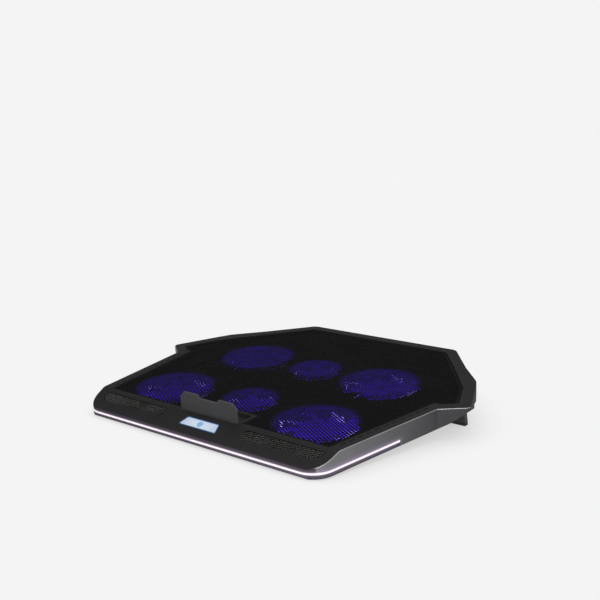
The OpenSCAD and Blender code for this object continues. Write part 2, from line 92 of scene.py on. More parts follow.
def sums(tree, what, spot, a, b=None):
    made = put(tree, "ShaderNodeMath", spot, operation=what)
    for place, value in enumerate((a, b)):
        if value is None:
            continue
        if isinstance(value, (int, float)):
            made.inputs[place].default_value = value
        else:
            tree.links.new(value, made.inputs[place])
    return made.outputs[0]


def newGroup(name):
    group = bpy.data.node_groups.new(name, "ShaderNodeTree")
    inside = put(group, "NodeGroupInput", (-900, 0))
    outside = put(group, "NodeGroupOutput", (700, 0))
    return group, inside, outside


def ramp(tree, value, low, high, spot, toLow=0.0, toHigh=1.0):
    made = put(tree, "ShaderNodeMapRange", spot)
    made.clamp = True
    made.inputs["From Min"].default_value = low
    made.inputs["From Max"].default_value = high
    made.inputs["To Min"].default_value = toLow
    made.inputs["To Max"].default_value = toHigh
    tree.links.new(value, made.inputs["Value"])
    return made.outputs["Result"]


def mouldedGrain():
    # fine spark-eroded grain with soft, wide patches of more and less polish
    group, inside, outside = newGroup("mouldedGrain")
    socketOf(group, "Size", "INPUT", value=0.6)
    socketOf(group, "Patch Size", "INPUT", value=30.0)
    socketOf(group, "Height", "OUTPUT")
    socketOf(group, "Patches", "OUTPUT")
    socketOf(group, "Speck", "OUTPUT")
    place = put(group, "ShaderNodeTexCoord", (-900, -250))
    fineScale = sums(group, "DIVIDE", (-700, 100), 1000.0, inside.outputs["Size"])
    wideScale = sums(group, "DIVIDE", (-700, -100), 1000.0, inside.outputs["Patch Size"])
    fine = put(group, "ShaderNodeTexNoise", (-450, 200), Detail=3.0, Roughness=0.6)
    cells = put(group, "ShaderNodeTexVoronoi", (-450, -50), feature="F1")
    wide = put(group, "ShaderNodeTexNoise", (-450, -350), Detail=4.0, Roughness=0.55)
    for tex, scale in ((fine, fineScale), (cells, fineScale), (wide, wideScale)):
        group.links.new(place.outputs["Object"], tex.inputs["Vector"])
        group.links.new(scale, tex.inputs["Scale"])
    pits = sums(group, "MULTIPLY", (-200, 0), cells.outputs["Distance"], 0.55)
    height = sums(group, "ADD", (0, 100), fine.outputs["Fac"], pits)
    group.links.new(height, outside.inputs["Height"])
    group.links.new(ramp(group, wide.outputs["Fac"], 0.35, 0.68, (0, -250)), outside.inputs["Patches"])
    group.links.new(ramp(group, fine.outputs["Fac"], 0.3, 0.7, (0, -480)), outside.inputs["Speck"])
    return group


def edgeWear():
    # handled edges: found by comparing the true normal with a rounded one, broken up by noise
    group, inside, outside = newGroup("edgeWear")
    socketOf(group, "Amount", "INPUT", value=0.5)
    socketOf(group, "Mask", "OUTPUT")
    rounded = put(group, "ShaderNodeBevel", (-700, 200), samples=4, Radius=0.0007)
    plain = put(group, "ShaderNodeNewGeometry", (-700, 0))
    place = put(group, "ShaderNodeTexCoord", (-700, -250))
    facing = put(group, "ShaderNodeVectorMath", (-450, 100), operation="DOT_PRODUCT")
    group.links.new(rounded.outputs["Normal"], facing.inputs[0])
    group.links.new(plain.outputs["Normal"], facing.inputs[1])
    worn = ramp(group, facing.outputs["Value"], 0.995, 0.86, (-200, 100))
    broken = put(group, "ShaderNodeTexNoise", (-450, -250), Scale=160.0, Detail=5.0)
    group.links.new(place.outputs["Object"], broken.inputs["Vector"])
    patchy = ramp(group, broken.outputs["Fac"], 0.38, 0.62, (-200, -200), 0.25, 1.0)
    mask = sums(group, "MULTIPLY", (100, 0), sums(group, "MULTIPLY", (0, 0), worn, patchy),
                inside.outputs["Amount"])
    group.links.new(mask, outside.inputs["Mask"])
    return group


def dustVeil():
    # a little dust on faces that look up, gathered in soft clouds
    group, inside, outside = newGroup("dustVeil")
    socketOf(group, "Amount", "INPUT", value=0.2)
    socketOf(group, "Mask", "OUTPUT")
    plain = put(group, "ShaderNodeNewGeometry", (-700, 100))
    split = put(group, "ShaderNodeSeparateXYZ", (-500, 100))
    group.links.new(plain.outputs["Normal"], split.inputs[0])
    upward = ramp(group, split.outputs["Z"], 0.3, 0.95, (-300, 100))
    place = put(group, "ShaderNodeTexCoord", (-700, -200))
    cloud = put(group, "ShaderNodeTexNoise", (-450, -150), Scale=26.0, Detail=6.0, Roughness=0.6)
    motes = put(group, "ShaderNodeTexNoise", (-450, -400), Scale=900.0, Detail=2.0)
    for tex in (cloud, motes):
        group.links.new(place.outputs["Object"], tex.inputs["Vector"])
    soft = ramp(group, cloud.outputs["Fac"], 0.42, 0.75, (-200, -150))
    dots = ramp(group, motes.outputs["Fac"], 0.5, 0.72, (-200, -400), 0.35, 1.0)
    both = sums(group, "MULTIPLY", (0, -150), sums(group, "MULTIPLY", (0, -300), soft, dots), upward)
    group.links.new(sums(group, "MULTIPLY", (200, 0), both, inside.outputs["Amount"]),
                    outside.inputs["Mask"])
    return group


def brushedLines():
    # drawn or ground metal: fine lines along x
    group, inside, outside = newGroup("brushedLines")
    socketOf(group, "Density", "INPUT", value=1.0)
    socketOf(group, "Height", "OUTPUT")
    socketOf(group, "Streaks", "OUTPUT")
    place = put(group, "ShaderNodeTexCoord", (-900, -200))
    stretch = put(group, "ShaderNodeMapping", (-700, -200))
    stretch.inputs["Scale"].default_value = (60, 2600, 2600)
    lines = put(group, "ShaderNodeTexNoise", (-450, 0), Detail=3.0)
    blots = put(group, "ShaderNodeTexNoise", (-450, -300), Scale=140.0, Detail=4.0)
    group.links.new(place.outputs["Object"], stretch.inputs["Vector"])
    group.links.new(stretch.outputs["Vector"], lines.inputs["Vector"])
    group.links.new(inside.outputs["Density"], lines.inputs["Scale"])
    group.links.new(place.outputs["Object"], blots.inputs["Vector"])
    group.links.new(lines.outputs["Fac"], outside.inputs["Height"])
    group.links.new(ramp(group, blots.outputs["Fac"], 0.3, 0.7, (-200, -300)), outside.inputs["Streaks"])
    return group


grainGroup, wearGroup, dustGroup, brushGroup = mouldedGrain(), edgeWear(), dustVeil(), brushedLines()
print("effect groups built")


# ---- finishes ----

finish = {}


def startFinish(name):
    made = finish[name] = bpy.data.materials.new(name)
    made.use_nodes = True
    tree = made.node_tree
    shader = tree.nodes["Principled BSDF"]
    shader.location = (500, 0)
    tree.nodes["Material Output"].location = (800, 0)
    return tree, shader


def useGroup(tree, group, spot, **values):
    made = put(tree, "ShaderNodeGroup", spot)
    made.node_tree = group
    for key, value in values.items():
        made.inputs[key.replace("_", " ")].default_value = value
    return made


def mixColour(tree, factor, a, b, spot):
    made = put(tree, "ShaderNodeMix", spot, data_type="RGBA")
    sockets = [s for s in made.inputs if s.type == "RGBA"]
    tree.links.new(factor, made.inputs[0])
    for place, value in zip(sockets, (a, b)):
        if isinstance(value, tuple):
            place.default_value = (*value, 1.0)
        else:
            tree.links.new(value, place)
    return [s for s in made.outputs if s.type == "RGBA"][0]


def bumpInto(tree, shader, height, strength, distance, spot=(250, -300)):
    made = put(tree, "ShaderNodeBump", spot)
    made.inputs["Strength"].default_value = strength
    made.inputs["Distance"].default_value = distance
    tree.links.new(height, made.inputs["Height"])
    tree.links.new(made.outputs["Normal"], shader.inputs["Normal"])


def padPlace(tree, spot, origin=onDesk):
    # object coordinates turned into the pad's or the band's own frame
    place = put(tree, "ShaderNodeTexCoord", spot)
    turnBack = put(tree, "ShaderNodeMapping", (spot[0] + 200, spot[1]))
    back = origin.inverted()
    turnBack.inputs["Location"].default_value = back.translation
    turnBack.inputs["Rotation"].default_value = back.to_euler()
    tree.links.new(place.outputs["Object"], turnBack.inputs["Vector"])
    split = put(tree, "ShaderNodeSeparateXYZ", (spot[0] + 400, spot[1]))
    tree.links.new(turnBack.outputs["Vector"], split.inputs[0])
    return split, turnBack.outputs["Vector"]


# the strip's light: its height, how far its painted glow spreads up and down, where that glow ends along
# the sides, and how much of it is painted at the left and at the right
glow = dict(height=5.4 * mm, reach=7.8 * mm, core=1.6 * mm, endsAt=118.5 * mm, fadesFrom=106.5 * mm,
            left=-0.15, right=0.12, leftLevel=0.6, rightLevel=1.15, strength=0.88, dimmest=0.88,
            cornerFrom=130 * mm)


def paintedStripGlow():
    # painted glow: how strongly the light strip's light is painted on what lies just above and below it,
    # near the front
    group, inside, outside = newGroup("paintedStripGlow")
    socketOf(group, "Mask", "OUTPUT")
    split = padPlace(group, (-1100, 0))[0]
    away = sums(group, "ABSOLUTE", (-500, 0),
                sums(group, "SUBTRACT", (-600, 0), split.outputs["Z"], glow["height"]))
    near = ramp(group, away, glow["reach"], glow["core"], (-300, 0))
    front = ramp(group, split.outputs["Y"], glow["endsAt"], glow["fadesFrom"], (-300, -250))
    plain = put(group, "ShaderNodeNewGeometry", (-900, -500))
    flat = put(group, "ShaderNodeVectorMath", (-700, -500), operation="DOT_PRODUCT")
    flat.inputs[1].default_value = deckUp
    group.links.new(plain.outputs["Normal"], flat.inputs[0])
    wall = ramp(group, sums(group, "ABSOLUTE", (-500, -500), flat.outputs["Value"]), 0.93, 0.8,
                (-300, -500))
    across = ramp(group, split.outputs["X"], glow["left"], glow["right"], (-300, -750),
                  glow["leftLevel"], glow["rightLevel"])
    both = sums(group, "MULTIPLY", (0, 0), sums(group, "MULTIPLY", (-100, 0), near, near),
                sums(group, "MULTIPLY", (-100, -300), front, wall))
    group.links.new(sums(group, "MULTIPLY", (200, 0), both, across), outside.inputs["Mask"])
    return group


def mouldedFinish(name, colour, pale, rough=(0.45, 0.62), grain=0.6, depth=0.12, wear=0.4,
                  dust=0.15, metallic=0.0, gloss=0.35, wornColour=None, paintedGlow=None, paintedRearShade=None):
    tree, shader = startFinish(name)
    grains = useGroup(tree, grainGroup, (-700, 200), Size=grain, Patch_Size=34.0)
    worn = useGroup(tree, wearGroup, (-700, -100), Amount=wear)
    veil = useGroup(tree, dustGroup, (-700, -300), Amount=dust)
    base = mixColour(tree, grains.outputs["Patches"], colour, pale, (-400, 300))
    if paintedRearShade:
        # painted shade: darker towards the wings, standing in for the side light falling off there
        split = padPlace(tree, (-1400, 500))[0]
        rearShadeMask = ramp(tree, split.outputs["Y"], 35 * mm, 190 * mm, (-700, 500))
        base = mixColour(tree, rearShadeMask, base, paintedRearShade, (-300, 450))
    speckled = mixColour(tree, sums(tree, "MULTIPLY", (-450, 60), grains.outputs["Speck"], 0.22),
                         base, tuple(min(1.0, c * 1.7 + 0.004) for c in pale), (-200, 260))
    rubbed = mixColour(tree, worn.outputs["Mask"], speckled,
                       wornColour or tuple(min(1.0, c * 3.2 + 0.03) for c in pale), (0, 220))
    dusty = mixColour(tree, veil.outputs["Mask"], rubbed, (0.30, 0.29, 0.28), (200, 200))
    tree.links.new(dusty, shader.inputs["Base Color"])
    tree.links.new(ramp(tree, grains.outputs["Patches"], 0, 1, (-200, -60), *rough),
                   shader.inputs["Roughness"])
    shader.inputs["Metallic"].default_value = metallic
    shader.inputs["Specular IOR Level"].default_value = gloss
    bumpInto(tree, shader, grains.outputs["Height"], depth, 0.00012)
    # painted glow: the light strip's light painted into this finish's emission near the strip
    if paintedGlow:
        near = useGroup(tree, paintedGlowGroup, (-200, -600))
        tree.links.new(mixColour(tree, near.outputs["Mask"], (0.0, 0.0, 0.0), paintedGlow, (200, -600)),
                       shader.inputs["Emission Color"])
        shader.inputs["Emission Strength"].default_value = 1.0


def metalFinish(name, colour, pale, rough=(0.22, 0.4), density=1.0, depth=0.08, wear=0.3):
    tree, shader = startFinish(name)
    brush = useGroup(tree, brushGroup, (-700, 200), Density=density)
    worn = useGroup(tree, wearGroup, (-700, -100), Amount=wear)
    base = mixColour(tree, brush.outputs["Streaks"], colour, pale, (-300, 250))
    rubbed = mixColour(tree, worn.outputs["Mask"], base, tuple(min(1, c * 1.25) for c in pale), (0, 220))
    tree.links.new(rubbed, shader.inputs["Base Color"])
    tree.links.new(ramp(tree, brush.outputs["Streaks"], 0, 1, (-200, -60), *rough),
                   shader.inputs["Roughness"])
    shader.inputs["Metallic"].default_value = 1.0
    bumpInto(tree, shader, brush.outputs["Height"], depth, 0.0001)


paintedGlowGroup = paintedStripGlow()
# the glow colours given to the cover, the sides and the base below are the strip's light, painted onto them
mouldedFinish("coverBlack", (0.0125, 0.0125, 0.013), (0.0175, 0.0175, 0.018),
              rough=(0.46, 0.6), dust=0.03, wear=0.2, gloss=0.07,
              paintedGlow=(0.10, 0.075, 0.11))
# the side finish's last colour is a painted shade that it takes towards the wings
mouldedFinish("fasciaGrey", (0.096, 0.096, 0.101), (0.118, 0.118, 0.124),
              rough=(0.36, 0.48), grain=0.35, depth=0.08, dust=0.05,
              metallic=0.3, wear=0.15, gloss=0.3, paintedGlow=(0.09, 0.06, 0.12),
              paintedRearShade=(0.006, 0.006, 0.0063))
# painted highlight: a pale finish for the crease's real bevel, standing in for the light caught along it
mouldedFinish("paintedCreaseHighlight", (0.17, 0.17, 0.18), (0.22, 0.22, 0.23),
              rough=(0.3, 0.42), grain=0.35, depth=0.05, dust=0.0,
              metallic=0.3, wear=0.1, gloss=0.5)
mouldedFinish("baseBlack", (0.009, 0.009, 0.0095), (0.014, 0.014, 0.015),
              rough=(0.55, 0.72), grain=0.9, depth=0.2, dust=0.04, gloss=0.25,
              paintedGlow=(0.10, 0.075, 0.12))
mouldedFinish("stopperGrey", (0.025, 0.025, 0.0257), (0.034, 0.034, 0.035),
              rough=(0.42, 0.55), grain=0.5, dust=0.08, wear=0.45, gloss=0.4)
mouldedFinish("legGrey", (0.022, 0.022, 0.023), (0.030, 0.030, 0.031),
              rough=(0.45, 0.6), grain=0.6, dust=0.05, wear=0.5, gloss=0.35)
mouldedFinish("footRubber", (0.012, 0.012, 0.012), (0.02, 0.02, 0.02),
              rough=(0.75, 0.92), grain=1.2, depth=0.35, dust=0.3, wear=0.2,
              gloss=0.2)
mouldedFinish("meshBlack", (0.0024, 0.0024, 0.0026), (0.0044, 0.0044, 0.0047),
              rough=(0.5, 0.64), grain=0.25, depth=0.1, dust=0.012, wear=0.0,
              gloss=0.04, wornColour=(0.05, 0.05, 0.052))
# the grille's pale worn colour is a painted highlight for the hole rims; with wear at 0 it does not show
mouldedFinish("grilleBlack", (0.004, 0.004, 0.0042), (0.007, 0.007, 0.0073),
              rough=(0.45, 0.6), grain=0.25, depth=0.1, dust=0.01, wear=0.0,
              gloss=0.04, wornColour=(0.16, 0.16, 0.155))
mouldedFinish("fanBlack", (0.012, 0.012, 0.014), (0.018, 0.018, 0.020),
              rough=(0.4, 0.55), dust=0.1)
mouldedFinish("switchBlack", (0.02, 0.02, 0.021), (0.03, 0.03, 0.031),
              rough=(0.3, 0.5), grain=0.3, dust=0.0)
mouldedFinish("tongueWhite", (0.72, 0.72, 0.70), (0.8, 0.8, 0.78),
              rough=(0.3, 0.42), grain=0.3, depth=0.05, dust=0.0, wear=0.0,
              gloss=0.5)
mouldedFinish("wireGrey", (0.05, 0.05, 0.052), (0.08, 0.08, 0.082),
              rough=(0.4, 0.55), grain=0.8, dust=0.1, wear=0.1)
metalFinish("pinSteel", (0.50, 0.50, 0.51), (0.62, 0.62, 0.62))
metalFinish("socketSteel", (0.58, 0.58, 0.57), (0.70, 0.70, 0.69),
            rough=(0.18, 0.32))
metalFinish("screwBlack", (0.05, 0.05, 0.052), (0.09, 0.09, 0.092),
            rough=(0.3, 0.45), wear=0.8)
metalFinish("bushBronze", (0.55, 0.32, 0.13), (0.66, 0.42, 0.2),
            rough=(0.35, 0.5))
metalFinish("coilCopper", (0.48, 0.18, 0.07), (0.62, 0.27, 0.12), density=3.0)


def boardFinish():
    tree, shader = startFinish("boardGreen")
    turned = padPlace(tree, (-900, 0))[1]
    tracks = put(tree, "ShaderNodeTexBrick", (-350, 200), Scale=240.0, Mortar_Size=0.035)
    tree.links.new(turned, tracks.inputs["Vector"])
    grains = useGroup(tree, grainGroup, (-500, -200), Size=0.4, Patch_Size=8.0)
    colour = mixColour(tree, tracks.outputs["Fac"], (0.012, 0.075, 0.035), (0.05, 0.2, 0.09), (0, 200))
    tree.links.new(mixColour(tree, sums(tree, "MULTIPLY", (-50, -50), grains.outputs["Patches"], 0.3),
                             colour, (0.02, 0.12, 0.05), (200, 200)), shader.inputs["Base Color"])
    tree.links.new(ramp(tree, grains.outputs["Patches"], 0, 1, (100, -100), 0.25, 0.45),
                   shader.inputs["Roughness"])
    bumpInto(tree, shader, tracks.outputs["Fac"], 0.3, 0.0001)


def stripFinish():
    # a milky light guide: white along its middle, with a rosy fringe at its upper and lower edges
    tree, shader = startFinish("stripGlow")
    split, turned = padPlace(tree, (-1100, 0))
    up = sums(tree, "ABSOLUTE", (-650, 0),
              sums(tree, "SUBTRACT", (-700, 0), split.outputs["Z"], glow["height"]))
    middle = ramp(tree, up, 1.3 * mm, 0.4 * mm, (-450, 0))
    lamps = put(tree, "ShaderNodeTexWave", (-650, -250), wave_type="BANDS", bands_direction="X")
    lamps.inputs["Scale"].default_value = 28.0
    lamps.inputs["Distortion"].default_value = 0.6
    tree.links.new(turned, lamps.inputs["Vector"])
    beads = ramp(tree, lamps.outputs["Fac"], 0, 1, (-450, -250), glow["dimmest"], 1.0)
    mask = sums(tree, "MULTIPLY", (-200, -50), middle, beads)
    light = mixColour(tree, mask, (0.26, 0.20, 0.26), (1.0, 0.94, 1.0), (100, 0))
    tree.links.new(light, shader.inputs["Emission Color"])
    shader.inputs["Emission Strength"].default_value = glow["strength"]
    tree.links.new(mixColour(tree, mask, (0.12, 0.10, 0.12), (0.3, 0.28, 0.3), (100, 250)),
                   shader.inputs["Base Color"])
    tree.links.new(ramp(tree, beads, glow["dimmest"], 1.0, (100, -200), 0.38, 0.3),
                   shader.inputs["Roughness"])
    grains = useGroup(tree, grainGroup, (-200, -450), Size=0.5)
    bumpInto(tree, shader, grains.outputs["Height"], 0.06, 0.0001, (250, -400))


# the lit window's middle and half depth, back along the band
window = dict(middle=18.5 * mm, half=7.5 * mm)


def panelFinish(name, core, rim, strength, reach):
    # a backlit window, brightest over its lamps and a little deeper in colour towards its edge
    tree, shader = startFinish(name)
    split, turned = padPlace(tree, (-1100, 0), onBand)
    side = sums(tree, "DIVIDE", (-650, 60), sums(tree, "ABSOLUTE", (-680, 60), split.outputs["X"]), reach)
    depth = sums(tree, "DIVIDE", (-650, -60), sums(tree, "ABSOLUTE", (-680, -60),
                 sums(tree, "SUBTRACT", (-700, -60), split.outputs["Y"], window["middle"])), window["half"])
    far = sums(tree, "MAXIMUM", (-450, 0), side, depth)
    cloud = put(tree, "ShaderNodeTexNoise", (-650, -300), Scale=90.0, Detail=3.0)
    tree.links.new(turned, cloud.inputs["Vector"])
    mask = sums(tree, "MULTIPLY", (-100, 0), ramp(tree, far, 1.0, 0.4, (-250, 0)),
                ramp(tree, cloud.outputs["Fac"], 0.3, 0.7, (-250, -300), 0.8, 1.0))
    tree.links.new(mixColour(tree, mask, rim, core, (100, 0)), shader.inputs["Emission Color"])
    shader.inputs["Emission Strength"].default_value = strength
    tree.links.new(mixColour(tree, mask, tuple(c * 0.25 for c in rim), tuple(c * 0.3 for c in core),
                             (100, 250)), shader.inputs["Base Color"])
    tree.links.new(ramp(tree, cloud.outputs["Fac"], 0.3, 0.7, (100, -250), 0.18, 0.3),
                   shader.inputs["Roughness"])
    bumpInto(tree, shader, cloud.outputs["Fac"], 0.02, 0.0002)
    shader.inputs["Specular IOR Level"].default_value = 0.3


def rotorFinish():
    # smoky violet plastic with a painted glow from the rim lamps: the lit attribute says how much of their
    # light is painted at a point
    tree, shader = startFinish("rotorViolet")
    lit = put(tree, "ShaderNodeAttribute", (-700, 0), attribute_name="lit")
    grains = useGroup(tree, grainGroup, (-700, -250), Size=1.5, Patch_Size=12.0)
    uneven = sums(tree, "MULTIPLY", (-400, 0), lit.outputs["Fac"],
                  ramp(tree, grains.outputs["Patches"], 0, 1, (-450, -200), 0.7, 1.0))
    deep = mixColour(tree, ramp(tree, uneven, 0.0, 0.5, (-200, 50)), (0.012, 0.002, 0.13),
                     (0.052, 0.008, 0.60), (0, 50))
    light = mixColour(tree, ramp(tree, uneven, 0.6, 1.0, (-200, -150)), deep, (0.40, 0.30, 1.0), (200, 0))
    tree.links.new(light, shader.inputs["Emission Color"])
    shader.inputs["Emission Strength"].default_value = 4.0
    tree.links.new(mixColour(tree, uneven, (0.03, 0.012, 0.16), (0.10, 0.04, 0.62), (200, 250)),
                   shader.inputs["Base Color"])
    tree.links.new(ramp(tree, grains.outputs["Patches"], 0, 1, (200, -200), 0.28, 0.42),
                   shader.inputs["Roughness"])
    bumpInto(tree, shader, grains.outputs["Height"], 0.05, 0.0001, (250, -400))


def lampFinish(name, core, rim, strength):
    tree, shader = startFinish(name)
    grains = useGroup(tree, grainGroup, (-600, 0), Size=0.6, Patch_Size=2.0)
    tree.links.new(mixColour(tree, grains.outputs["Patches"], rim, core, (0, 0)),
                   shader.inputs["Emission Color"])
    shader.inputs["Emission Strength"].default_value = strength
    tree.links.new(mixColour(tree, grains.outputs["Speck"], tuple(c * 0.8 for c in core), core, (0, 250)),
                   shader.inputs["Base Color"])
    tree.links.new(ramp(tree, grains.outputs["Patches"], 0, 1, (0, -200), 0.25, 0.4),
                   shader.inputs["Roughness"])
    bumpInto(tree, shader, grains.outputs["Height"], 0.05, 0.0001)


# each fan's x, y and the radius of its painted glow on the deck
fanSpots = [(-103, 80, 46), (103, 80, 46), (-92, 212, 46), (92, 212, 46), (0, 95, 32), (0, 212, 32)]


def paintedFanGlow():
    # painted glow: which of the deck's hole walls get the lit fans' light painted on them
    group, inside, outside = newGroup("paintedFanGlow")
    socketOf(group, "Mask", "OUTPUT")
    split = padPlace(group, (-1500, 0))[0]
    plain = put(group, "ShaderNodeNewGeometry", (-1300, -500))
    flat = put(group, "ShaderNodeVectorMath", (-900, -500), operation="DOT_PRODUCT")
    flat.inputs[1].default_value = deckUp
    group.links.new(plain.outputs["Normal"], flat.inputs[0])
    wall = ramp(group, sums(group, "ABSOLUTE", (-700, -500), flat.outputs["Value"]), 0.8, 0.4,
                (-500, -500))
    total = None
    for k, (x, y, reach) in enumerate(fanSpots):
        row = 300 - 120 * k
        dx = sums(group, "SUBTRACT", (-900, row), split.outputs["X"], x * mm)
        dy = sums(group, "SUBTRACT", (-800, row), split.outputs["Y"], y * mm)
        square = sums(group, "ADD", (-600, row), sums(group, "MULTIPLY", (-700, row), dx, dx),
                      sums(group, "MULTIPLY", (-700, row - 40), dy, dy))
        far = sums(group, "SQRT", (-500, row), square)
        near = ramp(group, far, (reach + 2) * mm, (reach - 6) * mm, (-300, row))
        total = near if total is None else sums(group, "ADD", (-100, row), total, near)
    group.links.new(sums(group, "MULTIPLY", (200, 0), total, wall), outside.inputs["Mask"])
    return group


paintedFanGlowGroup = paintedFanGlow()


# painted glow: the fans' violet light painted as emission on the deck's hole walls, in uneven patches
def paintFanGlowOnDeck():
    made = finish["meshBlack"]
    tree = made.node_tree
    shader = tree.nodes["Principled BSDF"]
    near = useGroup(tree, paintedFanGlowGroup, (-200, -700))
    grains = useGroup(tree, grainGroup, (-400, -900), Size=4.0, Patch_Size=9.0)
    level = sums(tree, "MULTIPLY", (0, -800), near.outputs["Mask"],
                 ramp(tree, grains.outputs["Patches"], 0, 1, (-200, -900), 0.45, 1.0))
    tree.links.new(mixColour(tree, level, (0.0, 0.0, 0.0), (0.018, 0.004, 0.19), (200, -700)),
                   shader.inputs["Emission Color"])
    shader.inputs["Emission Strength"].default_value = 1.0


paintFanGlowOnDeck()
# painted highlight: a pale finish for the grille's hole walls, standing in for light caught in the holes
mouldedFinish("paintedHoleHighlight", (0.09, 0.09, 0.085), (0.24, 0.24, 0.22), dust=0.0,
              rough=(0.3, 0.45), grain=0.25, metallic=0.5, wear=0.1)
boardFinish()
stripFinish()
panelFinish("panelGlow", (0.55, 0.62, 0.73), (0.38, 0.47, 0.62), 0.85, 0.0275)
panelFinish("buttonGlow", (0.19, 0.37, 0.56), (0.15, 0.33, 0.53), 0.9, 0.006)
lampFinish("bezelBlue", (0.006, 0.035, 0.10), (0.003, 0.018, 0.055), 0.9)
rotorFinish()
lampFinish("lampViolet", (0.55, 0.42, 1.0), (0.3, 0.15, 1.0), 6.0)
mouldedFinish("filmWhite", (0.10, 0.10, 0.095), (0.14, 0.14, 0.13), dust=0.0,
              grain=0.3, wear=0.1)
print("finishes mixed:", len(finish))


# ---- helpers for pieces ----

def makePiece(name, bm, finishes, body, replaced=(), smoothAngle=32):
    mesh = bpy.data.meshes.new(name)
    for face in bm.faces:
        face.smooth = True
    for edge in bm.edges:
        if len(edge.link_faces) == 2:
            edge.smooth = edge.calc_face_angle(0) < math.radians(smoothAngle)
    bm.to_mesh(mesh)
    bm.free()
    for one in finishes:
        mesh.materials.append(finish[one])
    made = bpy.data.objects.new(name, mesh)
    scene.collection.objects.link(made)
    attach(made, body)
    if replaced:
        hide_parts(*replaced)
    return made


def nodeCopy(name):
    # a merged copy of a frame node, with its flat faces whole again
    bm = bmesh.new()
    bm.from_mesh(nodes[name].data)
    bmesh.ops.remove_doubles(bm, verts=bm.verts[:], dist=1e-6)
    bmesh.ops.dissolve_limit(bm, angle_limit=math.radians(0.4), verts=bm.verts[:], edges=bm.edges[:])
    for face in bm.faces:
        face.material_index = 0
    return bm


def roundEdges(bm, width, angle=35, segments=2, pick=None):
    sharp = [e for e in bm.edges if len(e.link_faces) == 2 and e.is_convex
             and e.calc_face_angle(0) > math.radians(angle) and (pick is None or pick(e))]
    return bmesh.ops.bevel(bm, geom=sharp, offset=width, offset_type="OFFSET", segments=segments,
                           profile=0.5, affect="EDGES", clamp_overlap=False, material=-1)


def weigh(piece):
    # flat faces keep flat shading beside their rounded edges
    weights = piece.modifiers.new("flatFaces", "WEIGHTED_NORMAL")
    weights.keep_sharp = True
    return piece


def paint(name, one):
    for place in nodes[name].material_slots:
        place.material = finish[one]


# ---- top cover ----

cover = dict(creaseWidth=0.7 * mm, edgeWidth=0.35 * mm, frontX=165.5 * mm, flare=math.atan2(37, 229),
             fasciaFrom=4 * mm, fasciaEnd=262 * mm, fasciaIn=9 * mm, cornerEnd=40 * mm,
             cornerTurn=0.66, sideTurn=0.4)


def sideLine(y):
    return cover["frontX"] + y * math.tan(cover["flare"])


def padNormal(face):
    return offDesk.to_3x3() @ face.normal


def isFascia(face):
    # the side faces, from where the front corner has turned back to the tip of the wing
    n = padNormal(face)
    p = offDesk @ face.calc_center_median()
    turned = cover["cornerTurn"] if p.y < cover["cornerEnd"] else cover["sideTurn"]
    if abs(n.x) < turned or n.x * p.x < 0 or n.y >= 0.1 or not -0.93 < n.z < 0.35:
        return False
    return (cover["fasciaFrom"] < p.y < cover["fasciaEnd"]
            and abs(p.x) > sideLine(p.y) - cover["fasciaIn"])


def buildCover():
    bm = nodeCopy("top_cover")
    bm.normal_update()
    fascia = {f for f in bm.faces if isFascia(f)}

    def isCrease(edge):
        if len(edge.link_faces) != 2 or not edge.is_convex:
            return False
        a, b = edge.link_faces
        return (a in fascia) != (b in fascia) and max(padNormal(a).z, padNormal(b).z) > 0.7

    def isOpenEdge(edge):
        # rims of the deck, its openings and the windows in the band
        if not edge.is_convex or any(f in fascia for f in edge.link_faces):
            return False
        onTop = all(abs((offDesk @ v.co).z - pad["height"] * mm) < 0.02 * mm for v in edge.verts)
        return onTop or all(abs((offBand @ v.co).z) < 0.02 * mm for v in edge.verts)

    roundEdges(bm, cover["edgeWidth"], 50, 2, isOpenEdge)
    bm.normal_update()
    fascia = {f for f in bm.faces if isFascia(f)}
    creases = [e for e in bm.edges if isCrease(e)]
    made = bmesh.ops.bevel(bm, geom=creases, offset=cover["creaseWidth"], offset_type="OFFSET",
                           segments=2, profile=0.5, affect="EDGES", clamp_overlap=False, material=-1)
    for face in bm.faces:
        face.material_index = int(isFascia(face))
    # the crease's bevel faces take the pale finish: a painted highlight along the crease
    for face in made["faces"]:
        face.material_index = 2
    return weigh(makePiece("coverShell", bm, ["coverBlack", "fasciaGrey", "paintedCreaseHighlight"], "pad",
                           ["top_cover"]))


coverShell = buildCover()
print("cover shell:", len(coverShell.data.polygons), "faces")


# ---- base ----

def buildFromNode(name, node, one, body, width=0.3 * mm, angle=35, segments=2):
    bm = nodeCopy(node)
    if width:
        roundEdges(bm, width, angle, segments)
    return weigh(makePiece(name, bm, [one], body, [node]))


def buildBase():
    bm = nodeCopy("bottom_cover")
    roundEdges(bm, 0.3 * mm, 50, 2, lambda e: all((offDesk @ v.co).z < 0.02 * mm for v in e.verts))
    return weigh(makePiece("basePan", bm, ["baseBlack"], "pad", ["bottom_cover"]))


basePan = buildBase()
print("base pan:", len(basePan.data.polygons), "faces")


# ---- perforated deck and grilles ----

deck = dict(pitch=4.1 * mm, hole=2.45 * mm, rim=3.2 * mm, keep=1.4 * mm, thick=0.8 * mm,
            rimThick=1.0 * mm)
grille = dict(pitch=3.3 * mm, hole=2.3 * mm, rim=2.4 * mm, keep=1.0 * mm, thick=0.7 * mm,
              rimThick=0.95 * mm)
sheetSink = 0.08 * mm


def insetFaces(bm, faces, width, depth=0):
    bmesh.ops.inset_region(bm, faces=faces, thickness=width, depth=depth, use_even_offset=True,
                           use_boundary=True)


def flatOutline(node, toLocal):
    # the upper face of a sheet node, laid flat in its own frame
    bm = nodeCopy(node)
    bm.transform(toLocal)
    bm.normal_update()
    top = max((f for f in bm.faces if f.normal.z > 0.99), key=lambda f: f.calc_area())
    height = top.calc_center_median().z
    others = [f for f in bm.faces if f is not top]
    bmesh.ops.delete(bm, geom=others, context="FACES")
    return bm, height


